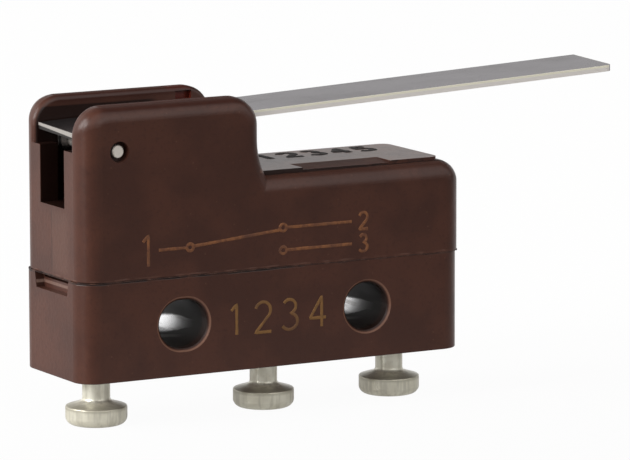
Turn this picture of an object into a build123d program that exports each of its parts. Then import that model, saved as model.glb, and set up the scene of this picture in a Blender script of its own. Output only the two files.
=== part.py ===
from build123d import *
from math import cos, radians, sin, tan
import os

os.makedirs("parts", exist_ok=True)

# Subminiature snap switch with a long strip lever, in millimetres.
# The origin is on the axis of the round mounting hole, halfway through the case.
# +X runs along the case to the lever's tip, +Y from the front face to the back face,
# and +Z from the terminals up to the lever.

# Case
case_width = 6.2
corner_radius = 1.0
base_height = 4.58
low_height = 8.86
block_height = 12.52
block_length = 9.13
wall = 0.9
cover_offset = 0.08
foot_fillet = 0.05

# Mounting holes and their metal sleeves
hole_pitch = 9.525
hole_from_left = 5.14
hole_from_right = 5.135
hole_height = 2.38
hole_radius = 1.12
oblong_play = 0.22
mouth_chamfer = 0.14
sleeve_wall = 0.17
sleeve_length = 5.0

# Step in the top of the base's left end
notch_width = 3.4
notch_taper = 0.15
notch_depth = 0.42
notch_height = 0.72
shelf_depth = 0.36
shelf_height = 0.28

# Recess for the stamped plates and the lip around it
plate = 0.25
lip_height = 0.35
lip_thickness = 0.25
lip_gap = 0.05
lip_corner = 0.5
plate_gap = 0.03

# Tall half of the cover: two cheeks with a slot between them
cheek_left_corner = 1.35
cheek_right_corner = 1.35
block_edge_fillet = 0.7
cheek_inner_fillet = 0.24
low_corner = 1.2
low_edge_fillet = 0.8
flare_height = 10.45
flare_foot_height = 8.05
flare_foot_length = 1.0
slot_width = 3.7
slot_floor_height = 7.8
ledge_height = 10.45
sill_height = 10.0
end_notch_width = 2.42
pocket_length = 7.3
ceiling_height = 6.9
low_ceiling_height = 7.96
partition = 0.8
collar_radius = 1.3
collar_height = 1.0

# Small blind window inside the back cheek
window_length = 0.82
window_height = 0.38
window_depth = 0.35
window_from_left = 7.35
window_top_height = 12.32

# Raised label pad on the low half, with a scoop in its front edge
pad_height = 0.13
pad_margin = 0.62
pad_end_margin = 1.0
pad_corner = 0.45
scoop_from_left = 11.65
scoop_length = 4.6
scoop_width = 1.3
scoop_depth = 0.1

# Pivot pin
pivot_from_left = 1.93
pivot_height = 10.48
pin_radius = 0.3
pin_press_gap = 0.01
pin_running_gap = 0.03
pin_sunk = 0.18
pin_chamfer = 0.03
counterbore_radius = 0.48
counterbore_depth = 0.5

# Lever
lever_width = 3.5
lever_thickness = 0.29
lever_tilt = 2.57
lever_roll = 1.8
lever_above_pin = 0.63
lever_tail = 1.62
lever_reach = 26.93
lever_corner = 0.32
ear_radius = 0.65
ear_thickness = 0.29

# Plunger
plunger_from_left = 6.2
plunger_radius = 0.7
plunger_gap = 0.03
plunger_dome = 0.25
plunger_rest_gap = 0.05
flange_radius = 0.95
flange_thickness = 0.2
foot_radius = 0.35

# Turret terminals
common_from_left = 2.21
open_from_left = 10.895
closed_from_right = 2.195
neck_radius = 0.64
neck_length = 1.33
head_radius = 1.42
neck_fillet = 0.2
head_cone = 0.24
head_rim = 0.52
head_fillet = 0.08
head_round = 0.34
head_flat_radius = 1.0
shank_radius = 0.45
shank_gap = 0.02
upset_radius = 0.62
upset_height = 0.2

# Snap mechanism
frame_side_gap = 0.2
frame_length = 3.9
upright_width = 2.4
leaf_height = 5.8
leaf_thickness = 0.15
leaf_width = 1.1
leaf_length = 5.68
leaf_slot_height = 0.5
leaf_slot_play = 0.1
leaf_hook_width = 1.9
leaf_hook_thickness = 0.14
leaf_hook_gap = 0.03
knife_from_left = 4.65
knife_gap = 0.05
knife_bevel = 0.2
notch_mouth = 0.7
side_ear_length = 1.3
side_ear_above = 0.45
arm_height = 5.45
arm_thickness = 0.2
arm_overhang = 0.05
arm_tip_gap = 2.55
arm_window_width = 1.6
arm_window_from_tip = 3.15
arm_swing = 2.9
contact_radius = 0.6
contact_from_tip = 0.85
contact_top = 0.2
contact_bottom = 0.3
contact_shank_radius = 0.3
contact_gap = 0.03
closed_contact_gap = 0.05
closed_contact_height = 0.3
strip_width = 2.4
strip_margin = 0.85
spring_radius = 0.36
spring_wire = 0.06
spring_turns = 14
spring_hole_radius = 0.14
spring_hole_from_tip = 0.25
spring_hole_from_window = 0.25
spring_ring_radius = 0.3
spring_link = 0.29

# Places worked out from the sizes above
left = -(hole_pitch + hole_from_left)
right = hole_from_right
case_length = right - left
middle = (left + right) / 2
half_width = case_width / 2
floor = -hole_height
parting = floor + base_height
deck = parting - plate
cover_left = left + cover_offset
cover_right = right + cover_offset
cover_middle = middle + cover_offset
cover_top = floor + block_height
low_top = floor + low_height
slot_floor = floor + slot_floor_height
ledge = floor + ledge_height
ceiling = floor + ceiling_height
low_ceiling = floor + low_ceiling_height
pivot_x = left + pivot_from_left
pivot_z = floor + pivot_height
plunger_x = left + plunger_from_left
common_x = left + common_from_left
open_x = left + open_from_left
closed_x = right - closed_from_right
terminal_x = {"terminal_common": common_x, "terminal_open": open_x, "terminal_closed": closed_x}
knife_x = left + knife_from_left
arm_z = floor + arm_height
leaf_z = floor + leaf_height
frame_left = cover_left + wall + lip_gap + lip_thickness + plate_gap
bracket_right = cover_right - wall - lip_gap - lip_thickness - plate_gap
arm_length = bracket_right - plate - arm_tip_gap - knife_x
contact_from_knife = arm_length - contact_from_tip
contact_x = knife_x + contact_from_knife

# Frames of the pieces that stand at a slant while the switch is at rest
lever_frame = Plane(
    origin=(pivot_x, 0, pivot_z),
    x_dir=(cos(radians(lever_tilt)), 0, sin(radians(lever_tilt))),
    z_dir=(
        -sin(radians(lever_tilt)) * cos(radians(lever_roll)),
        -sin(radians(lever_roll)),
        cos(radians(lever_tilt)) * cos(radians(lever_roll)),
    ),
)
arm_frame = Plane(
    origin=(knife_x, 0, arm_z),
    x_dir=(cos(radians(arm_swing)), 0, sin(radians(arm_swing))),
    z_dir=(-sin(radians(arm_swing)), 0, cos(radians(arm_swing))),
)


def finish(piece, name):
    """Label a finished piece and write it."""
    piece.part.label = name
    export_step(piece.part, f"parts/{name}.step")


def side_plane(frame):
    """The plane of a frame's side view, facing the front."""
    return Plane(origin=frame.origin, x_dir=frame.x_dir, z_dir=(0, -1, 0))


def rounded_half(side_view, top_corners, edge_fillet, fillet_above):
    """One half of the cover: its side view with round top corners, kept within the case's outline
    seen from above, and then its long upper edges rounded."""
    with BuildPart() as half:
        with BuildSketch(Plane.XZ) as view:
            add(side_view)
            for end, corner in top_corners.items():
                fillet(view.vertices().group_by(Axis.Y)[-1].sort_by(Axis.X)[end], corner)
        extrude(amount=half_width, both=True)
        with BuildSketch(Plane.XY.offset(parting)):
            with Locations((cover_middle, 0)):
                RectangleRounded(case_length, case_width, corner_radius)
        extrude(amount=block_height, mode=Mode.INTERSECT)
        upper_edges = half.edges().filter_by(
            lambda edge: abs(edge.center().Y) > half_width / 2
            and edge.center().Z > fillet_above
            and (edge.geom_type != GeomType.LINE or edge.center().X > cover_left + 2 * corner_radius)
        )
        fillet(upper_edges, edge_fillet)
    return half.part


# Base: lower half of the case
lip_length = case_length - 2 * (wall + lip_gap)
lip_width = case_width - 2 * (wall + lip_gap)

with BuildPart() as base:
    with BuildSketch(Plane.XY.offset(floor)):
        with Locations((middle, 0)):
            RectangleRounded(case_length, case_width, corner_radius)
    extrude(amount=base_height)
    fillet(base.faces().sort_by(Axis.Z)[0].edges(), foot_fillet)
    # lip that locates the cover
    with BuildSketch(Plane.XY.offset(parting)):
        with Locations((cover_middle, 0)):
            RectangleRounded(lip_length, lip_width, lip_corner)
    extrude(amount=lip_height)
    # recess for the stamped plates
    with BuildSketch(Plane.XY.offset(deck)):
        with Locations((cover_middle, 0)):
            RectangleRounded(lip_length - 2 * lip_thickness, lip_width - 2 * lip_thickness, lip_thickness)
    extrude(amount=plate + lip_height, mode=Mode.SUBTRACT)
    # bores for the terminal shanks
    with BuildSketch(Plane.XY.offset(floor)):
        with Locations(*[(x, 0) for x in terminal_x.values()]):
            Circle(shank_radius + shank_gap)
    extrude(amount=base_height, mode=Mode.SUBTRACT)
    # stepped notch in the left end
    with BuildSketch(Plane.YZ.offset(left)):
        with BuildLine():
            Polyline(
                (-notch_width / 2 + notch_taper, parting - notch_height),
                (notch_width / 2 - notch_taper, parting - notch_height),
                (notch_width / 2, parting),
                (-notch_width / 2, parting),
                close=True,
            )
        make_face()
    extrude(amount=notch_depth, mode=Mode.SUBTRACT)
    with BuildSketch(Plane.YZ.offset(left)):
        with Locations((0, parting - shelf_height / 2)):
            Rectangle(notch_width - 2 * notch_taper, shelf_height)
    extrude(amount=notch_depth + shelf_depth, mode=Mode.SUBTRACT)
    # mounting holes, round on the right and oblong on the left
    with BuildSketch(Plane.XZ):
        Circle(hole_radius)
        with Locations((-hole_pitch, 0)):
            SlotCenterToCenter(oblong_play, 2 * hole_radius)
    extrude(amount=half_width, both=True, mode=Mode.SUBTRACT)
    hole_rims = base.edges(Select.LAST).group_by(Axis.Y)
    chamfer(hole_rims[0] + hole_rims[-1], mouth_chamfer)
    # seats of the sleeves
    with BuildSketch(Plane.XZ):
        Circle(hole_radius + sleeve_wall)
        with Locations((-hole_pitch, 0)):
            SlotCenterToCenter(oblong_play, 2 * (hole_radius + sleeve_wall))
    extrude(amount=sleeve_length / 2, both=True, mode=Mode.SUBTRACT)
finish(base, "base")

# Metal sleeves moulded into the mounting holes
with BuildPart() as sleeve_round:
    with BuildSketch(Plane.XZ):
        Circle(hole_radius + sleeve_wall)
        Circle(hole_radius, mode=Mode.SUBTRACT)
    extrude(amount=sleeve_length / 2, both=True)
finish(sleeve_round, "sleeve_round")

with BuildPart() as sleeve_oblong:
    with BuildSketch(Plane.XZ):
        with Locations((-hole_pitch, 0)):
            SlotCenterToCenter(oblong_play, 2 * (hole_radius + sleeve_wall))
            SlotCenterToCenter(oblong_play, 2 * hole_radius, mode=Mode.SUBTRACT)
    extrude(amount=sleeve_length / 2, both=True)
finish(sleeve_oblong, "sleeve_oblong")

# Turned terminals: disc head, waist, shank through the base, and a head upset over the plate
waist = (neck_radius, floor - neck_length)
rim = (head_radius, floor - neck_length - head_cone)
head_bottom = floor - neck_length - head_cone - head_rim - head_round
for name, x in terminal_x.items():
    with BuildPart() as terminal:
        with BuildSketch(Plane(origin=(x, 0, 0), x_dir=(1, 0, 0), z_dir=(0, -1, 0))) as section:
            with BuildLine():
                Line((0, head_bottom), (head_flat_radius, head_bottom))
                ThreePointArc(
                    (head_flat_radius, head_bottom),
                    (
                        head_flat_radius + (head_radius - head_flat_radius) * sin(radians(50)),
                        head_bottom + head_round * (1 - cos(radians(50))),
                    ),
                    (head_radius, head_bottom + head_round),
                )
                Polyline(
                    (head_radius, head_bottom + head_round),
                    rim,
                    waist,
                    (neck_radius, floor),
                    (shank_radius, floor),
                    (shank_radius, parting),
                    (upset_radius, parting),
                    (upset_radius, parting + upset_height),
                    (0, parting + upset_height),
                    (0, head_bottom),
                )
            make_face()
            for corner, radius in ((waist, neck_fillet), (rim, head_fillet)):
                fillet(section.vertices().sort_by_distance(corner)[0], radius)
        revolve(axis=Axis((x, 0, 0), (0, 0, 1)))
    finish(terminal, name)

# Tall block and low half of the cover, before they are cut
flare_x = cover_left + block_length
with BuildSketch() as block_view:
    with BuildLine():
        Polyline(
            (flare_x + flare_foot_length, floor + flare_foot_height),
            (flare_x + flare_foot_length, parting),
            (cover_left, parting),
            (cover_left, cover_top),
            (flare_x, cover_top),
            (flare_x, floor + flare_height),
        )
        TangentArc(
            (flare_x, floor + flare_height),
            (flare_x + flare_foot_length, floor + flare_foot_height),
            tangent=(0, -1),
        )
    make_face()
with BuildSketch() as low_view:
    with Locations((cover_middle, (parting + low_top) / 2)):
        Rectangle(case_length, low_top - parting)
block_corners = {0: cheek_left_corner, -1: cheek_right_corner}
block = rounded_half(block_view.sketch, block_corners, block_edge_fillet, floor + flare_foot_height)
low_half = rounded_half(low_view.sketch, {-1: low_corner}, low_edge_fillet, low_top - low_corner)

# Cover: upper half of the case, with the plunger's collar
cavity_length = case_length - 2 * wall
cavity_width = case_width - 2 * wall
low_cavity_left = cover_left + wall + pocket_length + partition
low_cavity_length = cover_right - wall - low_cavity_left
pad_left = flare_x
pad_length = cover_right - pad_end_margin - pad_left
pad_top = low_top + pad_height
cut_above = cover_top - slot_floor

with BuildPart() as cover:
    add(low_half)
    # label pad with the scoop in its front edge
    with BuildSketch(Plane.XY.offset(low_top - pad_height)) as pad_outline:
        with Locations((pad_left + pad_length / 2, 0)):
            Rectangle(pad_length, case_width - 2 * pad_margin)
        fillet(pad_outline.vertices().group_by(Axis.X)[-1], pad_corner)
    extrude(amount=2 * pad_height)
    scoop_front = -half_width + pad_margin
    with BuildSketch(Plane.YZ.offset(left + scoop_from_left)):
        with BuildLine():
            Polyline(
                (scoop_front - pad_height, pad_top + pad_height),
                (scoop_front - pad_height, pad_top - scoop_depth),
                (scoop_front, pad_top - scoop_depth),
                (scoop_front + scoop_width, pad_top),
                (scoop_front + scoop_width, pad_top + pad_height),
                close=True,
            )
        make_face()
    extrude(amount=scoop_length, mode=Mode.SUBTRACT)
    # tall block with its slot, end notch and inner pocket
    add(block)
    with BuildSketch(Plane.XY.offset(ledge)):
        with Locations((cover_left, 0)):
            Rectangle(2 * block_length + 2 * flare_foot_length, slot_width)
    extrude(amount=cut_above, mode=Mode.SUBTRACT)
    # inner edges of the cheeks, rounded
    top_lines = cover.edges().filter_by(Axis.X).group_by(Axis.Z)[-1]
    inner_edges = top_lines.sort_by(lambda edge: abs(edge.center().Y))[:2]
    fillet(inner_edges, cheek_inner_fillet)
    with BuildSketch(Plane.XY.offset(floor + sill_height)):
        with Locations((cover_left + wall, 0)):
            Rectangle(block_length, slot_width, align=(Align.MIN, Align.CENTER))
    extrude(amount=cut_above, mode=Mode.SUBTRACT)
    with BuildSketch(Plane.XY.offset(slot_floor)):
        with Locations((cover_left + wall, 0)):
            Rectangle(pocket_length, slot_width, align=(Align.MIN, Align.CENTER))
        with Locations((cover_left, 0)):
            Rectangle(2 * wall + pocket_length, end_notch_width)
    extrude(amount=cut_above, mode=Mode.SUBTRACT)
    # blind window in the back cheek
    with BuildSketch(Plane.XZ.offset(-slot_width / 2)):
        with Locations((left + window_from_left, floor + window_top_height)):
            Rectangle(window_length, window_height, align=(Align.MIN, Align.MAX))
    extrude(amount=-window_depth, mode=Mode.SUBTRACT)
    # collar that guides the plunger
    with BuildSketch(Plane.XY.offset(ceiling)):
        with Locations((plunger_x, 0)):
            Circle(collar_radius)
    extrude(amount=slot_floor - ceiling + collar_height)
    # cavity for the mechanism, higher under the low half
    with BuildSketch(Plane.XY.offset(parting)):
        with Locations((cover_middle, 0)):
            RectangleRounded(cavity_length, cavity_width, lip_corner + lip_gap)
    extrude(amount=ceiling - parting, mode=Mode.SUBTRACT)
    with BuildSketch(Plane.XY.offset(parting)):
        with Locations((low_cavity_left + low_cavity_length / 2, 0)):
            RectangleRounded(low_cavity_length, cavity_width, lip_corner + lip_gap)
    extrude(amount=low_ceiling - parting, mode=Mode.SUBTRACT)
    # bore for the plunger
    with BuildSketch(Plane.XY.offset(parting)):
        with Locations((plunger_x, 0)):
            Circle(plunger_radius + plunger_gap)
    extrude(amount=cover_top - parting, mode=Mode.SUBTRACT)
    # bore for the pivot pin, with a counterbore in each cheek
    with BuildSketch(Plane.XZ):
        with Locations((pivot_x, pivot_z)):
            Circle(pin_radius + pin_press_gap)
    extrude(amount=half_width, both=True, mode=Mode.SUBTRACT)
    for face_offset, cut in ((half_width, -counterbore_depth), (-half_width, counterbore_depth)):
        with BuildSketch(Plane.XZ.offset(face_offset)):
            with Locations((pivot_x, pivot_z)):
                Circle(counterbore_radius)
        extrude(amount=cut, mode=Mode.SUBTRACT)
finish(cover, "cover")

# Pivot pin
with BuildPart() as pivot_pin:
    with BuildSketch(Plane.XZ):
        with Locations((pivot_x, pivot_z)):
            Circle(pin_radius)
    extrude(amount=half_width - pin_sunk, both=True)
    chamfer(pivot_pin.edges().filter_by(GeomType.CIRCLE), pin_chamfer)
finish(pivot_pin, "pivot_pin")

# Lever: strip with two ears folded down to the pin
lever_side = side_plane(lever_frame)
with BuildPart() as lever:
    with BuildSketch(lever_frame.offset(lever_above_pin)):
        with Locations(((lever_reach - lever_tail) / 2, 0)):
            Rectangle(lever_reach + lever_tail, lever_width)
    extrude(amount=lever_thickness)
    tip_edges = lever.edges().filter_by(Axis(lever_frame.origin, lever_frame.z_dir)).group_by(Axis.X)[-1]
    fillet(tip_edges, lever_corner)
    for offset in (lever_width / 2 - ear_thickness, -lever_width / 2):
        with BuildSketch(lever_side.offset(-offset)):
            with BuildLine():
                Polyline(
                    (ear_radius, 0),
                    (ear_radius, lever_above_pin + lever_thickness / 2),
                    (-ear_radius, lever_above_pin + lever_thickness / 2),
                    (-ear_radius, 0),
                )
                ThreePointArc((-ear_radius, 0), (0, -ear_radius), (ear_radius, 0))
            make_face()
            Circle(pin_radius + pin_running_gap, mode=Mode.SUBTRACT)
        extrude(amount=-ear_thickness)
finish(lever, "lever")

# Plunger: domed button, flange under the ceiling, domed foot over the leaf
plunger_run = plunger_x - pivot_x
lever_rise = plunger_run * tan(radians(lever_tilt)) + lever_above_pin / cos(radians(lever_tilt))
plunger_top = pivot_z + lever_rise - plunger_rest_gap
flange_top = ceiling - plunger_rest_gap
foot_bottom = leaf_z + leaf_thickness / 2 + plunger_rest_gap
with BuildPart() as plunger:
    with BuildSketch(Plane(origin=(plunger_x, 0, 0), x_dir=(1, 0, 0), z_dir=(0, -1, 0))):
        with BuildLine():
            Polyline(
                (plunger_radius, plunger_top - plunger_dome),
                (plunger_radius, flange_top),
                (flange_radius, flange_top),
                (flange_radius, flange_top - flange_thickness),
                (foot_radius, flange_top - flange_thickness),
                (foot_radius, foot_bottom + foot_radius),
            )
            RadiusArc((foot_radius, foot_bottom + foot_radius), (0, foot_bottom), foot_radius)
            Line((0, foot_bottom), (0, plunger_top))
            dome_radius = (plunger_radius**2 + plunger_dome**2) / (2 * plunger_dome)
            RadiusArc((0, plunger_top), (plunger_radius, plunger_top - plunger_dome), dome_radius)
        make_face()
    revolve(axis=Axis((plunger_x, 0, 0), (0, 0, 1)))
finish(plunger, "plunger")

# Common frame: plate on the left terminal, slotted upright, two notched side ears
frame_right = frame_left + frame_length
frame_width = lip_width - 2 * (lip_thickness + frame_side_gap)
with BuildPart() as common_frame:
    with BuildSketch(Plane.XY.offset(deck)):
        with Locations((frame_left + frame_length / 2, 0)):
            Rectangle(frame_length, frame_width)
        with Locations((common_x, 0)):
            Circle(shank_radius + shank_gap, mode=Mode.SUBTRACT)
    extrude(amount=plate)
    # slotted upright
    with BuildSketch(Plane.YZ.offset(frame_left)):
        upright_top = leaf_z + leaf_slot_height
        with Locations((0, (deck + upright_top) / 2)):
            Rectangle(upright_width, upright_top - deck)
        with Locations((0, leaf_z)):
            Rectangle(leaf_width + 2 * leaf_slot_play, leaf_slot_height, mode=Mode.SUBTRACT)
    extrude(amount=plate)
    # notched side ears
    for offset in (frame_width / 2 - plate, -frame_width / 2):
        with BuildSketch(Plane.XZ.offset(-offset)):
            with BuildLine():
                Polyline(
                    (frame_right - side_ear_length, deck),
                    (frame_right, deck),
                    (frame_right, arm_z - notch_mouth / 2),
                    (knife_x - knife_gap, arm_z),
                    (frame_right, arm_z + notch_mouth / 2),
                    (frame_right, arm_z + side_ear_above),
                    (frame_right - side_ear_length, arm_z + side_ear_above),
                    close=True,
                )
            make_face()
        extrude(amount=-plate)
finish(common_frame, "common_frame")

# Actuator leaf: strip through the slotted upright, with a T-shaped end hooked behind it
leaf_left = frame_left - leaf_hook_gap
leaf_right = leaf_left + leaf_length
with BuildPart() as actuator_leaf:
    with BuildSketch(Plane.XY.offset(leaf_z - leaf_thickness / 2)):
        with Locations((leaf_left, 0)):
            Rectangle(leaf_length, leaf_width, align=(Align.MIN, Align.CENTER))
            Rectangle(leaf_hook_thickness, leaf_hook_width, align=(Align.MAX, Align.CENTER))
        with Locations((leaf_right - spring_hole_from_tip, 0)):
            Circle(spring_hole_radius, mode=Mode.SUBTRACT)
    extrude(amount=leaf_thickness)
finish(actuator_leaf, "actuator_leaf")

# Contact arm: forked strip whose two tips are knife edges in the notched ears
arm_width = frame_width + 2 * arm_overhang
arm_window_end = arm_length - arm_window_from_tip
arm_side = side_plane(arm_frame)
with BuildPart() as contact_arm:
    with BuildSketch(arm_side):
        with BuildLine():
            Polyline(
                (0, 0),
                (knife_bevel, arm_thickness / 2),
                (arm_length, arm_thickness / 2),
                (arm_length, -arm_thickness / 2),
                (knife_bevel, -arm_thickness / 2),
                close=True,
            )
        make_face()
    extrude(amount=arm_width / 2, both=True)
    with BuildSketch(arm_frame):
        Rectangle(2 * arm_window_end, arm_window_width)
        with Locations((arm_window_end + spring_hole_from_window, 0)):
            Circle(spring_hole_radius)
        with Locations((contact_from_knife, 0)):
            Circle(contact_shank_radius)
    extrude(amount=arm_thickness, both=True, mode=Mode.SUBTRACT)
    tip_edges = contact_arm.edges().filter_by(Axis(arm_frame.origin, arm_frame.z_dir)).group_by(Axis.X)[-1]
    fillet(tip_edges, contact_radius)
finish(contact_arm, "contact_arm")

# Moving contact: rivet with a face on each side of the arm
with BuildPart() as moving_contact:
    with BuildSketch(arm_frame.offset(-arm_thickness / 2 - contact_bottom)):
        with Locations((contact_from_knife, 0)):
            Circle(contact_radius)
    extrude(amount=contact_bottom)
    with BuildSketch(arm_frame.offset(-arm_thickness / 2)):
        with Locations((contact_from_knife, 0)):
            Circle(contact_shank_radius)
    extrude(amount=arm_thickness)
    with BuildSketch(arm_frame.offset(arm_thickness / 2)):
        with Locations((contact_from_knife, 0)):
            Circle(contact_radius)
    extrude(amount=contact_top)
finish(moving_contact, "moving_contact")

# Snap spring: coil between the leaf's tip and the end of the arm's window, with a ring at each end
spring_start = Vector(leaf_right - spring_hole_from_tip, 0, leaf_z)
spring_end = arm_frame.from_local_coords(Vector(arm_window_end + spring_hole_from_window, 0, 0))
spring_way = (spring_end - spring_start).normalized()
coil_inset = 2 * spring_ring_radius + spring_link
coil_start = spring_start + spring_way * coil_inset
coil_length = (spring_end - spring_start).length - 2 * coil_inset
with BuildPart() as snap_spring:
    with BuildLine():
        coil = Helix(
            coil_length / spring_turns, coil_length, spring_radius, center=coil_start, direction=spring_way
        )
    with BuildSketch(Plane(origin=coil @ 0, z_dir=coil % 0)):
        Circle(spring_wire)
    sweep(path=coil)
    for hook, way, coil_tip in ((spring_start, spring_way, coil @ 0), (spring_end, -spring_way, coil @ 1)):
        ring_end = hook + way * 2 * spring_ring_radius
        with Locations(Plane(origin=hook + way * spring_ring_radius, z_dir=(0, 1, 0))):
            Torus(spring_ring_radius, spring_wire)
        with BuildLine():
            link = Line(ring_end, coil_tip)
        with BuildSketch(Plane(origin=link @ 0, z_dir=link % 0)):
            Circle(spring_wire)
        sweep(path=link)
finish(snap_spring, "snap_spring")

# Open strip and its contact, on the middle terminal
open_right = contact_x + strip_margin
with BuildPart() as open_strip:
    with BuildSketch(Plane.XY.offset(deck)):
        with Locations(((open_x - strip_margin + open_right) / 2, 0)):
            RectangleRounded(open_right - open_x + strip_margin, strip_width, plate)
        with Locations((open_x, 0)):
            Circle(shank_radius + shank_gap, mode=Mode.SUBTRACT)
    extrude(amount=plate)
finish(open_strip, "open_strip")

open_face = arm_z - arm_thickness / 2 - contact_bottom - contact_gap
with BuildPart() as open_contact:
    with BuildSketch(Plane.XY.offset(parting)):
        with Locations((contact_x, 0)):
            Circle(contact_radius)
    extrude(amount=open_face - parting)
finish(open_contact, "open_contact")

# Closed bracket and its contact, on the right terminal
closed_face = arm_frame.from_local_coords(
    Vector(contact_from_knife, 0, arm_thickness / 2 + contact_top)
).Z + closed_contact_gap
bracket_underside = closed_face + closed_contact_height
bracket_left = contact_x - strip_margin
with BuildPart() as closed_bracket:
    with BuildSketch(Plane.XZ):
        with BuildLine():
            Polyline(
                (closed_x - strip_margin, deck),
                (bracket_right, deck),
                (bracket_right, bracket_underside + plate),
                (bracket_left, bracket_underside + plate),
                (bracket_left, bracket_underside),
                (bracket_right - plate, bracket_underside),
                (bracket_right - plate, parting),
                (closed_x - strip_margin, parting),
                close=True,
            )
        make_face()
    extrude(amount=strip_width / 2, both=True)
    with BuildSketch(Plane.XY.offset(deck)):
        with Locations((closed_x, 0)):
            Circle(shank_radius + shank_gap)
    extrude(amount=plate, mode=Mode.SUBTRACT)
finish(closed_bracket, "closed_bracket")

with BuildPart() as closed_contact:
    with BuildSketch(Plane.XY.offset(closed_face)):
        with Locations((contact_x, 0)):
            Circle(contact_radius)
    extrude(amount=closed_contact_height)
finish(closed_contact, "closed_contact")
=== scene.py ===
from math import cos, radians, sin, tan

import bmesh
import bpy
from mathutils import Matrix, Vector


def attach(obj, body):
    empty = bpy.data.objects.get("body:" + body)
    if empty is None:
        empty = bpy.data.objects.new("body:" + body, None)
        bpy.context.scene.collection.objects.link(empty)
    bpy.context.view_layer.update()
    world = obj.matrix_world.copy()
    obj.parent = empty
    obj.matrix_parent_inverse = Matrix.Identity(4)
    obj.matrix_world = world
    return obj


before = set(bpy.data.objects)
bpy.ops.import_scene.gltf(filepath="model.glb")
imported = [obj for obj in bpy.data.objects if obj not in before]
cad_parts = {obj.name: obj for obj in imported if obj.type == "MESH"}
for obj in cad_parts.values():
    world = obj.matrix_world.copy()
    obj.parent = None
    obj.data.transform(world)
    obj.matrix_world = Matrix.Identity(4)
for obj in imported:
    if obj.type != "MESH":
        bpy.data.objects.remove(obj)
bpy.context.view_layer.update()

MM = 0.001

# Places on the switch, in millimetres
LEFT_END = -14.665
RIGHT_END = 5.135
COVER_LEFT = -14.585
COVER_RIGHT = 5.215
FRONT = -3.1
PARTING = 2.2
COVER_TOP = 10.14
PAD_TOP = 6.61
PAD_LEFT = -5.5
PAD_FRONT = -2.48
SCOOP_FOOT = 6.49
SLOT_WALL = 1.85
SLOT_LOW = 5.3
WINDOW_MIDDLE = -7.1
WINDOW_HALF = 0.6
RIM_RADIUS = 1.235
BORE_RADIUS = 1.12
SHELF_HEIGHT = 1.74
HOLE_PITCH = 9.525
OBLONG_HALF = 0.11
PIVOT_X = -12.735
PIVOT_Z = 8.1
LEVER_TAIL = -14.36
LEVER_TIP = 14.135
LEVER_HALF = 1.75
LEVER_TILT = 2.57
HEAD_BOTTOM = -4.81


def tint(red, green, blue):
    """A colour as it is seen on a screen, made linear for a socket."""
    channels = []
    for level in (red, green, blue):
        share = level / 255
        channels.append(share / 12.92 if share <= 0.04045 else ((share + 0.055) / 1.055) ** 2.4)
    return (*channels, 1)


class Value:
    """A number that varies over a surface. Arithmetic on it adds Math nodes."""

    def __init__(self, layout, socket):
        self.layout = layout
        self.socket = socket

    def maths(self, operation, *terms):
        return self.layout.node("ShaderNodeMath", {"operation": operation}, dict(enumerate(terms)))

    def __add__(self, other):
        return self.maths("ADD", self, other)

    def __radd__(self, other):
        return self.maths("ADD", other, self)

    def __sub__(self, other):
        return self.maths("SUBTRACT", self, other)

    def __rsub__(self, other):
        return self.maths("SUBTRACT", other, self)

    def __mul__(self, other):
        return self.maths("MULTIPLY", self, other)

    def __rmul__(self, other):
        return self.maths("MULTIPLY", other, self)

    def __truediv__(self, other):
        return self.maths("DIVIDE", self, other)

    def __abs__(self):
        return self.maths("ABSOLUTE", self)

    def root(self):
        return self.maths("SQRT", self)

    def sine(self):
        return self.maths("SINE", self)

    def most(self, other):
        return self.maths("MAXIMUM", self, other)

    def least(self, other):
        return self.maths("MINIMUM", self, other)

    def rise(self, low, high):
        """0 below the low end and 1 above the high end, with a soft step between."""
        return self.layout.node(
            "ShaderNodeMapRange",
            {"interpolation_type": "SMOOTHSTEP"},
            {"Value": self, "From Min": low, "From Max": high, "To Min": 0, "To Max": 1},
        )

    def line(self, place, half, soft):
        """1 in a band about a place and 0 beyond its soft edges."""
        return 1 - abs(self - place).rise(half, half + soft)


class Layout:
    """The nodes of one material, world or shape."""

    def __init__(self, tree):
        self.tree = tree

    def find(self, sockets, key):
        if isinstance(key, int):
            return sockets[key]
        for socket in sockets:
            if socket.identifier == key:
                return socket
        return sockets[key]

    def node(self, kind, settings=None, inputs=None, output=0):
        """Add a node: its settings first, then the values or links of its sockets."""
        node = self.tree.nodes.new(kind)
        for name, setting in (settings or {}).items():
            setattr(node, name, setting)
        for key, term in (inputs or {}).items():
            socket = self.find(node.inputs, key)
            if isinstance(term, Value):
                self.tree.links.new(term.socket, socket)
            else:
                socket.default_value = term
        return Value(self, self.find(node.outputs, output)) if node.outputs else None


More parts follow.
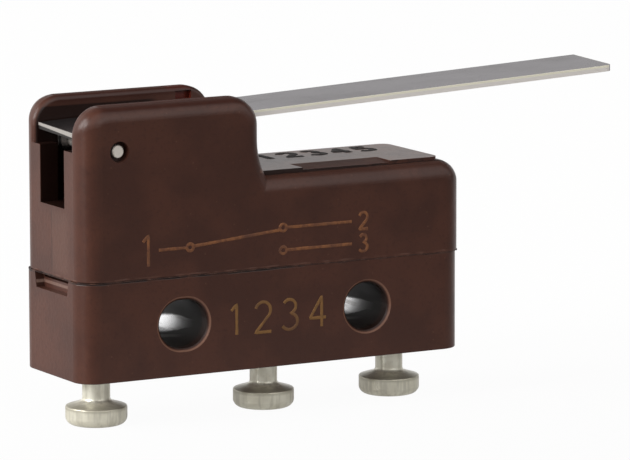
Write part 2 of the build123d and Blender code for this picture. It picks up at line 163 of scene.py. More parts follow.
class Finish(Layout):
    """A material, with the patterns that the switch's surfaces share."""

    def __init__(self, name):
        self.material = bpy.data.materials.new(name)
        self.material.use_nodes = True
        super().__init__(self.material.node_tree)
        self.tree.nodes.clear()
        place = self.node("ShaderNodeTexCoord", output="Object")
        self.place = self.node(
            "ShaderNodeVectorMath", {"operation": "SCALE"}, {"Vector": place, "Scale": 1 / MM}, "Vector"
        )
        split = {axis: self.node("ShaderNodeSeparateXYZ", {}, {0: self.place}, axis) for axis in "XYZ"}
        self.x, self.y, self.z = split["X"], split["Y"], split["Z"]

    def stretched(self, along):
        """The place on the piece with each axis scaled, so that a pattern runs in streaks."""
        return self.node("ShaderNodeVectorMath", {"operation": "MULTIPLY"}, {0: self.place, 1: along})

    def cloud(self, scale, detail=2, along=(1, 1, 1), roughness=0.5):
        """Uneven patches, so many to the millimetre."""
        inputs = {"Vector": self.stretched(along), "Scale": scale, "Detail": detail, "Roughness": roughness}
        return self.node("ShaderNodeTexNoise", {}, inputs, "Fac")

    def specks(self, scale, reach):
        """Round specks on a random grid, 1 at the middle of each."""
        inputs = {"Vector": self.place, "Scale": scale}
        return 1 - self.node("ShaderNodeTexVoronoi", {}, inputs, "Distance").rise(0, reach)

    def from_axis(self, across, along, middle):
        """Distance from an axis, given the two coordinates square to it and where it is."""
        first, second = across - middle[0], along - middle[1]
        return (first * first + second * second).root()

    def blend(self, first, second, share):
        """One colour laid over another by a share."""
        return self.node(
            "ShaderNodeMix",
            {"data_type": "RGBA"},
            {"Factor_Float": share, "A_Color": first, "B_Color": second},
            "Result_Color",
        )

    def relief(self, height, depth):
        """A Bump node: height from 0 to 1, depth in millimetres."""
        return self.node("ShaderNodeBump", {}, {"Height": height, "Distance": depth * MM, "Strength": 1})

    def surface(self, **inputs):
        """End the material in a Principled surface, and return the material."""
        named = {word.replace("_", " ").title().replace("Ior", "IOR"): term for word, term in inputs.items()}
        shader = self.node("ShaderNodeBsdfPrincipled", {}, named, "BSDF")
        self.node("ShaderNodeOutputMaterial", {}, {"Surface": shader})
        return self.material


# Camera, light and floor


def place_camera():
    """A long lens in front of the left end, at the photograph's angle."""
    turn, dip, roll = radians(29.175), radians(9.009), radians(-0.145)
    ahead = Vector((sin(turn) * cos(dip), cos(turn) * cos(dip), -sin(dip)))
    across = Vector((cos(turn), -sin(turn), 0))
    upright = across.cross(ahead)
    right = across * cos(roll) + upright * sin(roll)
    up = upright * cos(roll) - across * sin(roll)
    camera_data = bpy.data.cameras.new("camera")
    camera_data.lens = 313.12
    camera_data.sensor_width = 36
    camera_data.clip_start = 0.01
    camera_data.clip_end = 10
    camera = bpy.data.objects.new("camera", camera_data)
    bpy.context.scene.collection.objects.link(camera)
    axes = Matrix((right, up, -ahead)).transposed().to_4x4()
    camera.matrix_world = Matrix.Translation(Vector((-123.445, -219.30, 43.04)) * MM) @ axes
    bpy.context.scene.camera = camera


def softbox(name, place, target, width, watts):
    """A square soft lamp turned to a place on the switch, both in millimetres."""
    lamp_data = bpy.data.lights.new(name, "AREA")
    lamp_data.shape = "SQUARE"
    lamp_data.size = width * MM
    lamp_data.energy = watts
    lamp = bpy.data.objects.new(name, lamp_data)
    bpy.context.scene.collection.objects.link(lamp)
    way = (Vector(target) - Vector(place)) * MM
    turn = way.to_track_quat("-Z", "Y").to_matrix().to_4x4()
    lamp.matrix_world = Matrix.Translation(Vector(place) * MM) @ turn


def studio_world():
    """A soft grey room: a low bright backdrop, a canopy over the front, and a white background."""
    world = bpy.data.worlds.new("studio")
    world.use_nodes = True
    bpy.context.scene.world = world
    room = Layout(world.node_tree)
    room.tree.nodes.clear()
    way = room.node("ShaderNodeTexCoord", output="Generated")
    depth = room.node("ShaderNodeSeparateXYZ", {}, {0: way}, "Y")
    across = room.node("ShaderNodeSeparateXYZ", {}, {0: way}, "X")
    height = room.node("ShaderNodeSeparateXYZ", {}, {0: way}, "Z")
    # the backdrop is low but for its left end; a soft canopy hangs over the front half of the room
    above = height - 0.28 * (0 - across).rise(0.05, 0.3)
    backdrop = depth.rise(-0.25, 0.55) * (1 - 0.8 * above.rise(0.2, 0.42))
    canopy = 1.4 * height.rise(-0.1, 0.35) * (1 - depth.rise(-0.32, -0.12))
    glossy_ray = room.node("ShaderNodeLightPath", output="Is Glossy Ray")
    level = 0.1 + 0.88 * backdrop + 0.15 * (0 - across).rise(0.1, 0.9)
    level = level + canopy * (0.42 + 0.58 * glossy_ray)
    seen = room.node("ShaderNodeLightPath", output="Is Camera Ray")
    strength = level + seen * (1 - level)
    shade = room.node("ShaderNodeBackground", {}, {"Color": (1, 1, 1, 1), "Strength": strength})
    room.node("ShaderNodeOutputWorld", {}, {"Surface": shade})


def pale_floor():
    """A white floor under the terminal heads that keeps the switch's soft shadow; near the switch it glows
    for every ray, painted light on the terminals from below.
    """
    sheet = bmesh.new()
    bmesh.ops.create_circle(sheet, cap_ends=True, segments=96, radius=600 * MM)
    bmesh.ops.translate(sheet, verts=sheet.verts, vec=(0, 0, HEAD_BOTTOM * MM))
    mesh = bpy.data.meshes.new("floor")
    sheet.to_mesh(mesh)
    sheet.free()
    floor = bpy.data.objects.new("floor", mesh)
    bpy.context.scene.collection.objects.link(floor)
    paint = Finish("pale_floor")
    unevenness = paint.cloud(0.02, 3)
    behind = (paint.y + 12 * unevenness).rise(-40, 30)
    matt = paint.blend(tint(112, 111, 110), tint(214, 213, 211), behind)
    diffuse = paint.node("ShaderNodeBsdfDiffuse", {}, {"Color": matt, "Roughness": 1})
    glow = paint.node("ShaderNodeEmission", {}, {"Color": (1, 1, 1, 1), "Strength": 1})
    camera_ray = paint.node("ShaderNodeLightPath", output="Is Camera Ray")
    glossy_ray = paint.node("ShaderNodeLightPath", output="Is Glossy Ray")
    # near the switch the floor glows for every ray: painted light under the case and on the terminals
    glow_near_switch = 1 - (abs(paint.y) + 3 * unevenness).rise(5, 12)
    share = (camera_ray * 0.96 + glossy_ray * behind * 0.35).most(glow_near_switch * 0.35)
    shader = paint.node("ShaderNodeMixShader", {}, {0: share, 1: diffuse, 2: glow})
    paint.node("ShaderNodeOutputMaterial", {}, {"Surface": shader})
    mesh.materials.append(paint.material)


# Finishes


def case_plastic():
    """Dark brown moulded plastic: mottled, with a seam line, corners paler from wear and painted highlight,
    painted highlights on the hole rims and the notch's shelf, and painted shade in the slot, the bores and
    over the cheeks' tops.
    """
    paint = Finish("case_plastic")
    mottle = paint.cloud(0.42, 3)
    grain = paint.cloud(5.2, 4, roughness=0.6)
    colour = paint.blend(tint(68, 41, 33), tint(78, 47, 37), mottle.rise(0.35, 0.65))
    colour = paint.blend(colour, tint(58, 35, 29), grain.rise(0.5, 0.72) * 0.45)
    fillers = paint.specks(2.6, 0.16) * paint.cloud(1.1).rise(0.5, 0.62)
    colour = paint.blend(colour, tint(118, 82, 66), fillers * 0.35)
    # painted shade on the walls of the lever's slot and of the case's inside
    slot_shade = 1 - abs(paint.y).rise(SLOT_WALL + 0.01, SLOT_WALL + 0.05)
    slot_shade = slot_shade * (1 - paint.x.rise(PAD_LEFT - 0.2, PAD_LEFT - 0.1))
    slot_shade = slot_shade * paint.x.rise(COVER_LEFT + 0.02, COVER_LEFT + 0.06)
    slot_shade = slot_shade * paint.z.rise(SLOT_LOW - 0.1, SLOT_LOW + 0.05)
    slot_shade = slot_shade * (1 - paint.z.rise(COVER_TOP - 0.3, COVER_TOP - 0.22))
    # the painted shade is lifted from the back cheek's wall along its top and towards the window in it,
    # where light reaches it
    back_wall = paint.y.rise(SLOT_WALL - 0.15, SLOT_WALL - 0.05)
    slot_shade = slot_shade * (1 - back_wall * (paint.x.rise(-8.8, -8.2).most(paint.z.rise(9.62, 9.7)) * 0.85))
    colour = paint.blend(colour, tint(24, 12, 9), slot_shade * 0.9)
    window = paint.y.rise(SLOT_WALL + 0.01, SLOT_WALL + 0.03) * (1 - paint.y.rise(2.5, 2.6))
    window = window * paint.x.line(WINDOW_MIDDLE, WINDOW_HALF, 0.05)
    colour = paint.blend(colour, tint(104, 36, 24), window * paint.z.rise(8, 8.2) * 0.8)
    # knit line down the left end, with the case paler on the side towards the front
    end_face = 1 - paint.x.rise(COVER_LEFT + 0.05, COVER_LEFT + 0.12)
    knit = end_face * (1 - paint.z.rise(5, 5.4)) * paint.z.rise(2.3, 2.6)
    knit_line = knit * (paint.y + 0.05 * mottle).line(0.12, 0.02, 0.04) * paint.cloud(1.2).rise(0.3, 0.5)
    front_side = knit * (1 - paint.y.rise(0.05, 0.2)) * paint.y.rise(-1.9, -1.2)
    colour = paint.blend(colour, tint(96, 70, 60), front_side * 0.28)
    colour = paint.blend(colour, tint(44, 26, 20), knit_line * 0.6)
    # painted highlight on the shelf in the notch of the base's left end
    shelf_highlight = paint.z.line(SHELF_HEIGHT, 0.05, 0.04) * (1 - abs(paint.y).rise(1.98, 2.02))
    shelf_highlight = shelf_highlight * paint.x.rise(LEFT_END + 0.01, LEFT_END + 0.03) * (1 - paint.x.rise(-14.3, -14.2))
    colour = paint.blend(colour, tint(176, 146, 132), shelf_highlight * (0.35 + 0.5 * grain))
    # corners paler: partly rubbed by handling, partly painted highlight
    end_edge = abs(paint.x - (LEFT_END + RIGHT_END) / 2).rise(9.35, 9.8)
    side_edge = abs(paint.y).rise(2.6, 3.05)
    top_edge = paint.z.rise(COVER_TOP - 0.5, COVER_TOP - 0.05)
    wear_and_sheen = (end_edge * side_edge + top_edge * side_edge) * paint.cloud(1.7, 4).rise(0.42, 0.68)
    colour = paint.blend(colour, tint(122, 82, 68), wear_and_sheen.least(1) * 0.4)
    # seam between cover and base: a broken dark line under a thin pale edge, which is partly paler flash and
    # partly painted highlight
    wander = (paint.cloud(0.7, 3) - 0.5) * 0.1
    height = paint.z - wander
    towards_right = paint.x.rise(-5, -1)
    dashes = paint.cloud(0.9, 2).rise(0.42, 0.56)
    broken = (dashes * (1 - 0.55 * towards_right)).most(0.3 - 0.3 * towards_right)
    gap = height.line(PARTING - 0.02, 0.04 - 0.02 * towards_right, 0.035) * broken
    flash_and_highlight = height.line(PARTING + 0.07, 0.02, 0.04) * paint.cloud(1.3, 3).rise(0.42, 0.6)
    colour = paint.blend(colour, tint(104, 72, 60), flash_and_highlight * 0.45)
    colour = paint.blend(colour, tint(16, 8, 6), gap * 0.9)
    # painted shade on the upper round of the cheeks, darker than the faces
    crown_shade = paint.z.rise(COVER_TOP - 0.4, COVER_TOP - 0.2) * paint.x.rise(-14, -13.2)
    colour = paint.blend(colour, tint(50, 20, 12), crown_shade * (0.65 + 0.2 * mottle))
    # top of the raised label pad, warmer in patches
    pad = paint.z.rise(PAD_TOP - 0.01, PAD_TOP - 0.005) * (1 - paint.z.rise(PAD_TOP + 0.09, PAD_TOP + 0.19))
    pad = pad * paint.x.rise(PAD_LEFT - 0.1, PAD_LEFT)
    warm = pad * (0.4 + 0.6 * paint.cloud(0.8, 3).rise(0.4, 0.65))
    colour = paint.blend(colour, tint(112, 78, 62), warm * 0.7)
    # groove in front of the raised pad, filled with shadow and dirt
    ragged = 0.05 - PAD_FRONT + paint.y + 0.12 * (paint.cloud(2.2, 3) - 0.5)
    groove = ragged.line(0, 0.07 - 0.045 * paint.x.rise(-1.5, 3), 0.03) * paint.z.rise(6.3, 6.35)
    groove = groove * paint.x.rise(PAD_LEFT - 0.1, PAD_LEFT)
    groove = groove * (1 - paint.z.rise(PAD_TOP + 0.05, PAD_TOP + 0.1))
    colour = paint.blend(colour, tint(26, 12, 8), groove * 0.92)
    # painted highlight on the chamfers of the hole mouths: copper-brown rims
    left_reach = (abs(paint.x + HOLE_PITCH) - OBLONG_HALF).most(0)
    left_rim = (left_reach * left_reach + paint.z * paint.z).root()
    right_rim = paint.from_axis(paint.x, paint.z, (0, 0))
    rim_highlight = (left_rim.line(RIM_RADIUS, 0.02, 0.035) + right_rim.line(RIM_RADIUS, 0.02, 0.035)) * side_edge
    colour = paint.blend(colour, tint(152, 112, 92), rim_highlight * (0.25 + 0.5 * mottle))
    # painted shade inside the bores
    wall_start, wall_end = BORE_RADIUS + 0.02, BORE_RADIUS + 0.06
    bore_shade = (1 - left_rim.rise(wall_start, wall_end)) + (1 - right_rim.rise(wall_start, wall_end))
    colour = paint.blend(colour, tint(30, 19, 15), bore_shade.least(1) * 0.8)
    skin = 0.55 * grain + 0.45 * paint.cloud(1.3, 2) - gap * 0.8 + flash_and_highlight * 0.5
    # the scoop, the groove and the narrow flats on the cheeks are duller than the rest
    scoop = paint.z.rise(SCOOP_FOOT, SCOOP_FOOT + 0.01) * paint.x.rise(PAD_LEFT + 0.1, PAD_LEFT + 0.2)
    scoop = scoop * (1 - paint.z.rise(PAD_TOP - 0.005, PAD_TOP - 0.002))
    scoop = scoop * (1 - abs(paint.y).rise(-PAD_FRONT - 0.005, -PAD_FRONT))
    ridge = paint.z.rise(COVER_TOP - 0.03, COVER_TOP - 0.01)
    roughness = 0.27 + 0.1 * grain - 0.05 * wear_and_sheen + (0.3 * scoop.most(groove)).most(0.5 * ridge)
    return paint.surface(
        base_color=colour,
        roughness=roughness,
        specular_ior_level=0.25,
        normal=paint.relief(skin, 0.012),
    )


def plunger_plastic():
    """Smooth dark moulded rod with faint turning marks from the collar it slides in."""
    paint = Finish("plunger_plastic")
    streaks = paint.cloud(6, 3, (1, 1, 0.12))
    colour = paint.blend(tint(46, 30, 26), tint(62, 42, 36), streaks)
    return paint.surface(
        base_color=colour,
        roughness=0.34 + 0.12 * streaks,
        specular_ior_level=0.35,
        normal=paint.relief(streaks, 0.004),
    )


def lever_steel():
    """Rolled stainless strip: grain along its length, sheared edges paler (partly painted highlight) and
    rougher, painted light and shade at the tail.
    """
    paint = Finish("lever_steel")
    grain = paint.cloud(14, 3, (0.035, 1, 0.25))
    patches = paint.cloud(0.5, 3, (0.5, 1, 1))
    scratches = paint.cloud(30, 1, (0.03, 1, 0.2)).rise(0.66, 0.74) * paint.cloud(0.8, 2).rise(0.5, 0.65)
    tail = 1 - paint.x.rise(LEVER_TAIL, LEVER_TAIL + 0.03)
    cut = abs(paint.y).rise(LEVER_HALF - 0.015, LEVER_HALF - 0.003)
    cut = cut.most(paint.x.rise(LEVER_TIP - 0.035, LEVER_TIP - 0.005))
    burr = paint.cloud(10, 3, (1, 0, 0.2))
    colour = paint.blend(tint(150, 147, 149), tint(166, 163, 163), grain)
    colour = paint.blend(colour, tint(124, 121, 119), patches.rise(0.5, 0.72) * 0.4)
    # sheared edges: a cream band over a greyer one, partly the shear's burnished and torn zones, partly
    # painted highlight
    above = paint.z - PIVOT_Z - (paint.x - PIVOT_X) * tan(radians(LEVER_TILT))
    torn = paint.blend(tint(252, 247, 226), tint(240, 234, 228), 1 - above.rise(0.74, 0.8))
    colour = paint.blend(colour, torn, cut)
    # painted light and shade at the tail's end: a painted lit wedge that narrows towards the back, over ears
    # painted dark as shade
    across = (paint.y + LEVER_HALF) / (2 * LEVER_HALF)
    lit_wedge = (above - 0.63 - 0.2 * across).rise(0, 0.05)
    colour = paint.blend(colour, paint.blend(tint(40, 36, 34), tint(176, 170, 164), lit_wedge), tail)
    # painted shade on the lever's ears and underside inside the slot
    slot_shade_on_lever = (1 - paint.x.rise(-13.6, -13.3)) * (1 - above.rise(0.5, 0.56)) * (1 - tail)
    colour = paint.blend(colour, tint(30, 24, 22), slot_shade_on_lever * 0.85)
    roughness = 0.16 + 0.08 * grain + 0.06 * patches + (0.3 * cut).most(0.3 * slot_shade_on_lever)
    return paint.surface(
        base_color=colour,
        metallic=1 - (0.8 * cut).most(0.5 * tail),
        roughness=roughness,
        specular_tint=(0.7, 0.69, 0.7, 1),
        normal=paint.relief(0.6 * grain - 0.5 * scratches + 0.6 * cut * burr, 0.004),
    )


def pin_steel():
    """Ground pin: fine rings on its ends, stains, a bright centre on each end, and painted shadow towards
    the end's edge and over the barrel.
    """
    paint = Finish("pin_steel")
    reach = paint.from_axis(paint.x, paint.z, (PIVOT_X, PIVOT_Z))
    rings = (reach * 70).sine() * 0.5 + 0.5
    stain = paint.cloud(4, 3)
    colour = paint.blend(tint(232, 224, 214), tint(190, 178, 168), stain.rise(0.5, 0.75))
    # painted shadow round the edge of the end face and over the barrel
    colour = paint.blend(colour, tint(70, 60, 54), reach.rise(0.24, 0.3) * 0.6)
    return paint.surface(
        base_color=colour,
        metallic=0.4,
        roughness=0.4 + 0.2 * stain,
        normal=paint.relief(0.3 * rings + 0.7 * stain, 0.006),
    )


def sleeve_metal():
    """Drawn sleeve: one bright band along the bore; the rest dull and painted dark as shade, with painted
    grey sheen and a painted reflection streak.
    """
    paint = Finish("sleeve_metal")
    streaks = paint.cloud(3.2, 4, (1, 0.12, 1))
    stain = paint.cloud(1.2, 3)
    wobble = 0.5 * (stain - 0.5)
    # only a band along the bore's side is bright metal; the rest is painted dark as shade
    reach = 0.25 * (paint.y + wobble).rise(-1.8, 0.2) + 0.05 * paint.y.most(0)
    slant = 0.138 * paint.y
    band = abs(paint.z + 0.5 + slant + 0.3 * wobble) - reach
    dull = (1 - (paint.y + wobble).rise(-1.9, 1.4)).most(band.rise(0, 0.18))
    colour = paint.blend(tint(246, 246, 247), tint(150, 146, 142), streaks.rise(0.5, 0.66) * 0.6)
    # painted shade over the rest of the bore, painted greyer upwards and towards the back as a sheen
    shade_and_sheen = paint.blend(tint(30, 20, 15), tint(64, 62, 62), paint.z.rise(-0.2, 0.6) * stain)
    # a painted reflection streak low in the bore
    painted_reflection_streak = (paint.z + slant).line(-1.05, 0.03, 0.05)
    shade_and_sheen = paint.blend(shade_and_sheen, tint(104, 100, 96), paint.z.rise(-0.3, 0.4) * paint.y.rise(-0.6, 1.6) * stain)
    shade_and_sheen = paint.blend(shade_and_sheen, tint(120, 116, 112), painted_reflection_streak * paint.y.rise(-1.6, 0) * 0.8)
    colour = paint.blend(colour, shade_and_sheen, dull)
    return paint.surface(
        base_color=colour,
        metallic=1 - 0.85 * dull,
        roughness=0.12 + 0.1 * streaks + 0.38 * dull,
        normal=paint.relief(streaks, 0.008),
    )


def terminal_plating():
    """Turned terminals under dull tin plating: tool rings, soft mottle and darker heads."""
    paint = Finish("terminal_plating")
    rings = paint.cloud(16, 2, (0.02, 0.02, 1))
    mottle = paint.cloud(1.6, 4)
    pits = paint.specks(5, 0.2) * paint.cloud(2).rise(0.5, 0.6)
    colour = paint.blend(tint(240, 237, 221), tint(220, 215, 197), mottle.rise(0.35, 0.7))
    head = 1 - paint.z.rise(HEAD_BOTTOM + 0.95, HEAD_BOTTOM + 1.2)
    shoulder = paint.z.line(HEAD_BOTTOM + 0.85, 0.05, 0.15)
    streaks = paint.cloud(4, 2, (1, 1, 0.15)).rise(0.45, 0.65)
    colour = paint.blend(colour, tint(204, 199, 181), head * (0.35 + 0.6 * mottle))
    colour = paint.blend(colour, tint(150, 144, 124), shoulder * (0.3 + 0.5 * mottle) + pits * 0.3)
    colour = paint.blend(colour, tint(176, 171, 156), streaks * 0.5)
    return paint.surface(
        base_color=colour,
        metallic=0.45,
        roughness=0.24 + 0.16 * mottle,
        normal=paint.relief(0.5 * rings + 0.4 * mottle - 0.5 * pits, 0.007),
    )


def stamped_metal(name, bright, dull, roughness):
    """Rolled strip stamped to shape: fine grain, tarnish in patches and a dulled sheared edge."""
    paint = Finish(name)
    grain = paint.cloud(12, 3, (0.06, 1, 1))
    tarnish = paint.cloud(1.4, 4)
    colour = paint.blend(bright, dull, tarnish.rise(0.4, 0.75) * 0.7 + grain * 0.15)
    return paint.surface(
        base_color=colour,
        metallic=1,
        roughness=roughness + 0.12 * tarnish,
        normal=paint.relief(0.6 * grain + 0.4 * tarnish, 0.004),
    )


def contact_silver():
    """Silver rivets: pale, with a dark sulphide bloom and pits where they meet."""
    paint = Finish("contact_silver")
    bloom = paint.cloud(2.4, 4)
    pits = paint.specks(7, 0.25)
    colour = paint.blend(tint(228, 226, 220), tint(150, 142, 128), bloom.rise(0.45, 0.75))
    return paint.surface(
        base_color=colour,
        metallic=1,
        roughness=0.28 + 0.25 * bloom,
        normal=paint.relief(bloom - 0.5 * pits, 0.006),
    )


def spring_wire():
    """Hard-drawn wire with die lines."""
    paint = Finish("spring_wire")
    lines = paint.cloud(20, 2)
    colour = paint.blend(tint(178, 172, 164), tint(138, 130, 122), lines)
    return paint.surface(
        base_color=colour, metallic=1, roughness=0.3 + 0.15 * lines, normal=paint.relief(lines, 0.002)
    )


def mark_copper():
    """Copper-coloured marking, thin and broken where the plastic shows through."""
    paint = Finish("mark_copper")
    worn = paint.cloud(5, 4)
    patches = paint.cloud(0.7, 2)
    colour = paint.blend(tint(132, 84, 50), tint(98, 60, 42), worn.rise(0.35, 0.7))
    colour = paint.blend(colour, tint(122, 92, 46), (1 - paint.z.rise(1, 2)) * 0.6)
    colour = paint.blend(colour, tint(80, 51, 40), patches.rise(0.46, 0.7) * 0.6)
    return paint.surface(
        base_color=colour,
        roughness=0.5 + 0.15 * worn,
        specular_ior_level=0.3,
        normal=paint.relief(worn, 0.006),
    )


def mark_dark():
    """Dark stamping ink, soaked in unevenly."""
    paint = Finish("mark_dark")
    worn = paint.cloud(6, 3)
    colour = paint.blend(tint(17, 11, 9), tint(38, 26, 22), worn)
    return paint.surface(
        base_color=colour,
        roughness=0.55 + 0.2 * worn,
        specular_ior_level=0.25,
        normal=paint.relief(worn, 0.004),
    )


def parting_flash():
    """Thin flash squeezed out along the parting line: the case's plastic, paler where it is thinnest."""
    paint = Finish("parting_flash")
    torn = paint.cloud(2.6, 4)
    colour = paint.blend(tint(46, 27, 21), tint(104, 73, 61), torn.rise(0.45, 0.7) * 0.7)
    return paint.surface(
        base_color=colour,
        roughness=0.46 + 0.15 * torn,
        specular_ior_level=0.25,
        normal=paint.relief(torn, 0.01),
    )


# Raised strokes: markings and flash


class Shape(Layout):
    """A Geometry Nodes tree with named inputs."""

    def __init__(self, name, words, materials=()):
        super().__init__(bpy.data.node_groups.new(name, "GeometryNodeTree"))
        face = self.tree.interface
        face.new_socket("Geometry", in_out="INPUT", socket_type="NodeSocketGeometry")
        for word in words:
            face.new_socket(word, in_out="INPUT", socket_type="NodeSocketFloat")
        for word in materials:
            face.new_socket(word, in_out="INPUT", socket_type="NodeSocketMaterial")
        face.new_socket("Geometry", in_out="OUTPUT", socket_type="NodeSocketGeometry")
        self.entry = self.tree.nodes.new("NodeGroupInput")

    def given(self, word):
        return Value(self, self.find(self.entry.outputs, word))

    def bake(self, lines, **levels):
        """Run the tree once on a mesh of lines and return the mesh that it makes."""
        carrier = bpy.data.objects.new(lines.name, lines)
        bpy.context.scene.collection.objects.link(carrier)
        modifier = carrier.modifiers.new(self.tree.name, "NODES")
        modifier.node_group = self.tree
        for item in self.tree.interface.items_tree:
            word = item.name.lower()
            if word in levels:
                modifier[item.identifier] = levels[word]
        drawn = carrier.evaluated_get(bpy.context.evaluated_depsgraph_get())
        mesh = bpy.data.meshes.new_from_object(drawn)
        bpy.data.objects.remove(carrier)
        return mesh


def stroke_shape():
    """Round strokes swept along drawn lines, each as thick as its line says, then pressed flat."""
    shape = Shape("raised_strokes", ("Width", "Rise", "Unevenness", "Wander", "Step", "Seed"), ("Finish",))
    curve = shape.node("GeometryNodeMeshToCurve", {}, {"Mesh": shape.given("Geometry")})
    step = {"Curve": curve, "Length": shape.given("Step")}
    curve = shape.node("GeometryNodeResampleCurve", {"mode": "LENGTH"}, step)
    place = shape.node("GeometryNodeInputPosition")
    pattern = {"Vector": place, "W": shape.given("Seed"), "Scale": 1.5 / MM, "Detail": 3}
    uneven = shape.node("ShaderNodeTexNoise", {"noise_dimensions": "4D"}, pattern, "Fac") - 0.5
    shift = shape.node("ShaderNodeCombineXYZ", {}, {"Z": uneven * shape.given("Wander")})
    curve = shape.node("GeometryNodeSetPosition", {}, {"Geometry": curve, "Offset": shift})
    thickness = shape.node(
        "GeometryNodeInputNamedAttribute", {"data_type": "FLOAT"}, {"Name": "thickness"}, "Attribute"
    )
    scale = thickness * (1 + uneven * shape.given("Unevenness"))
    ring = {"Resolution": 8, "Radius": shape.given("Width") * 0.5}
    profile = shape.node("GeometryNodeCurvePrimitiveCircle", {}, ring, "Curve")
    sweep = {"Curve": curve, "Profile Curve": profile, "Scale": scale, "Fill Caps": True}
    mesh = shape.node("GeometryNodeCurveToMesh", {}, sweep)
    press = shape.node("ShaderNodeCombineXYZ", {}, {"X": 1, "Y": 1, "Z": shape.given("Rise")})
    mesh = shape.node("GeometryNodeTransform", {}, {"Geometry": mesh, "Scale": press})
    mesh = shape.node("GeometryNodeRealizeInstances", {}, {"Geometry": mesh})
    mesh = shape.node("GeometryNodeSetShadeSmooth", {}, {"Geometry": mesh})
    mesh = shape.node("GeometryNodeSetMaterial", {}, {"Geometry": mesh, "Material": shape.given("Finish")})
    shape.node("NodeGroupOutput", {}, {"Geometry": mesh})
    return shape


def arc(middle, across, upright, start, end, count=12):
    """Points on an arc about a middle, its ends given in degrees."""
    turns = [radians(start + (end - start) * step / (count - 1)) for step in range(count)]
    return [(middle[0] + across * cos(turn), middle[1] + upright * sin(turn)) for turn in turns]


# Plain numerals in one stroke each, in a box 0.62 wide and 1 high
NUMERALS = {
    "1": [[(0.14, 0.8), (0.34, 1), (0.34, 0)]],
    "2": [arc((0.3, 0.72), 0.28, 0.28, 165, -35) + [(0.02, 0), (0.6, 0)]],
    "3": [arc((0.27, 0.77), 0.24, 0.23, 150, -80) + arc((0.27, 0.27), 0.3, 0.27, 80, -150)],
    "4": [[(0.46, 0), (0.46, 1), (0.02, 0.3), (0.62, 0.3)]],
    "5": [[(0.54, 1), (0.1, 1), (0.05, 0.54)] + arc((0.27, 0.3), 0.3, 0.3, 125, -145)],
}


def written(text, start, height, pitch):
    """Lines of a row of numerals, set at a pitch from a start."""
    lines = []
    for place, numeral in enumerate(text):
        for line in NUMERALS[numeral]:
            moved = [(start[0] + pitch * place + height * x, start[1] + height * y) for x, y in line]
            lines.append((1, False, moved))
    return lines


def changeover_symbol(left, right, middle, spread):
    """Sign for a changeover contact: a common line, a slanted arm and two contacts, with plain numerals."""
    hinge, contact, dot = left + 2.6, right - 4.6, 0.17
    lines = [(1, False, [(left + 1, middle), (hinge - dot, middle)])]
    lines.append((1, True, arc((hinge, middle), dot, dot, 0, 330)))
    lines.append((1, False, [(hinge + dot, middle + 0.04), (contact - 0.2, middle + spread - 0.1)]))
    for level in (middle + spread, middle - spread):
        lines.append((1, True, arc((contact, level), dot, dot, 0, 330)))
        lines.append((1, False, [(contact + dot, level), (right - 1, level)]))
    small = 0.78
    lines += written("1", (left, middle - 0.7), 1.4, 1)
    lines += written("2", (right - 0.62, middle + spread - small / 2), small, 1)
    lines += written("3", (right - 0.62, middle - spread - small / 2), small, 1)
    return lines


def lines_mesh(name, lines):
    """Drawn lines, in millimetres on the ground plane, as a mesh of edges with a thickness."""
    points, edges, weights = [], [], []
    for thickness, closed, line in lines:
        first, last = len(points), len(points) + len(line) - 1
        points += [(x * MM, y * MM, 0) for x, y in line]
        edges += [(place, place + 1) for place in range(first, last)] + ([(last, first)] if closed else [])
        weights += [thickness] * len(line)
    mesh = bpy.data.meshes.new(name)
    mesh.from_pydata(points, edges, [])
    mesh.attributes.new("thickness", "FLOAT", "POINT").data.foreach_set("value", weights)
    return mesh


def joined_piece(name, parts):
    """One object on the case made of baked meshes, each set in its place and keeping its finish."""
    whole = bmesh.new()
    mesh = bpy.data.meshes.new(name)
    for number, (part, place) in enumerate(parts):
        part.transform(place)
        earlier = len(whole.faces)
        whole.from_mesh(part)
        whole.faces.ensure_lookup_table()
        for face in whole.faces[earlier:]:
            face.material_index = number
        mesh.materials.append(part.materials[0])
    whole.to_mesh(mesh)
    whole.free()
    piece = bpy.data.objects.new(name, mesh)
    bpy.context.scene.collection.objects.link(piece)
    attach(piece, "case")


def raised(along):
    """A shift by so many millimetres on each axis."""
    return Matrix.Translation(Vector(along) * MM)


bpy.context.scene.view_settings.view_transform = "Standard"
place_camera()
studio_world()
pale_floor()
softbox("left_softbox", (-300, 70, 170), (-8, 0, 3), 200, 1.1)
softbox("corner_lamp", (-305, -72, 150), (-14, -3, 9), 46, 0.3)
softbox("corner_strip", (-332, -80, 12), (-14, -3, 3), 60, 0.12)
softbox("front_fill", (60, -380, 160), (-5, 0, 3), 260, 0.2)

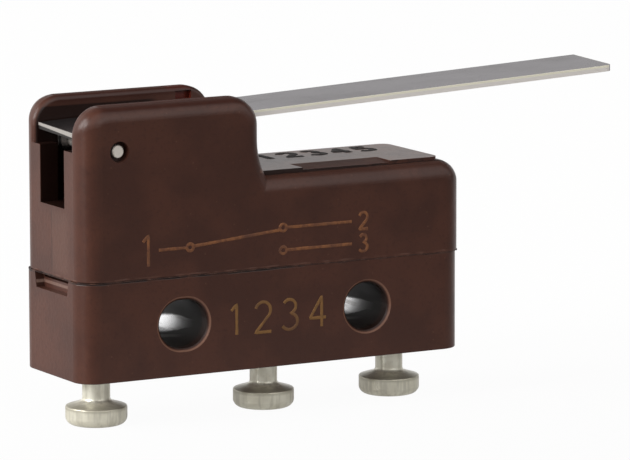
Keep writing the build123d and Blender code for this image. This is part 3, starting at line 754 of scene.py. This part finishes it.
brass = stamped_metal("stamped_brass", tint(214, 178, 108), tint(158, 120, 70), 0.3)
alloy = stamped_metal("spring_alloy", tint(214, 158, 116), tint(160, 108, 76), 0.26)
finished_nodes = (
    (case_plastic(), ("base", "cover")),
    (plunger_plastic(), ("plunger",)),
    (lever_steel(), ("lever",)),
    (pin_steel(), ("pivot_pin",)),
    (sleeve_metal(), ("sleeve_round", "sleeve_oblong")),
    (terminal_plating(), ("terminal_common", "terminal_open", "terminal_closed")),
    (brass, ("common_frame", "open_strip", "closed_bracket")),
    (alloy, ("actuator_leaf", "contact_arm")),
    (contact_silver(), ("moving_contact", "open_contact", "closed_contact")),
    (spring_wire(), ("snap_spring",)),
)
for finish, names in finished_nodes:
    for name in names:
        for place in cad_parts[name].material_slots:
            place.material = finish

strokes = stroke_shape()
upright = Matrix.Rotation(radians(90), 4, "X")
front_lines = changeover_symbol(left=-11.8, right=0.2, middle=3.5, spread=0.52)
front_lines += written("1234", start=(-7.3, -0.72), height=1.4, pitch=1.42)
top_lines = written("12345", start=(-3.3, 0.75), height=1.25, pitch=1.32)
ink = {"rise": 0.12, "unevenness": 0.7, "wander": 0, "step": 0.08 * MM}
front_mesh = lines_mesh("front_lines", front_lines)
front_ink = strokes.bake(front_mesh, width=0.15 * MM, seed=3, finish=mark_copper(), **ink)
top_mesh = lines_mesh("top_lines", top_lines)
top_ink = strokes.bake(top_mesh, width=0.4 * MM, seed=8, finish=mark_dark(), **ink)
marks = ((front_ink, raised((0, FRONT, 0)) @ upright), (top_ink, raised((0, 0, PAD_TOP))))
joined_piece("case_marks", marks)

middle, reach, corner = (LEFT_END + COVER_RIGHT) / 2, (COVER_RIGHT - LEFT_END) / 2, 1
ring = []
for start, across, along in ((-90, 1, -1), (0, 1, 1), (90, -1, 1), (180, -1, -1)):
    centre = (middle + across * (reach - corner), along * (-FRONT - corner))
    ring += arc(centre, corner, corner, start, start + 90, 8)
bulge = arc((COVER_RIGHT - corner, FRONT + corner), corner, corner, -40, -8, 6)
flash_lines = lines_mesh("flash_lines", [(1, True, ring), (2.2, False, bulge)])
ridge = {"rise": 1, "unevenness": 2.4, "wander": 0.09 * MM, "step": 0.1 * MM}
flash_ring = strokes.bake(flash_lines, width=0.036 * MM, seed=5, finish=parting_flash(), **ridge)
joined_piece("parting_flash", ((flash_ring, raised((0, 0, PARTING))),))
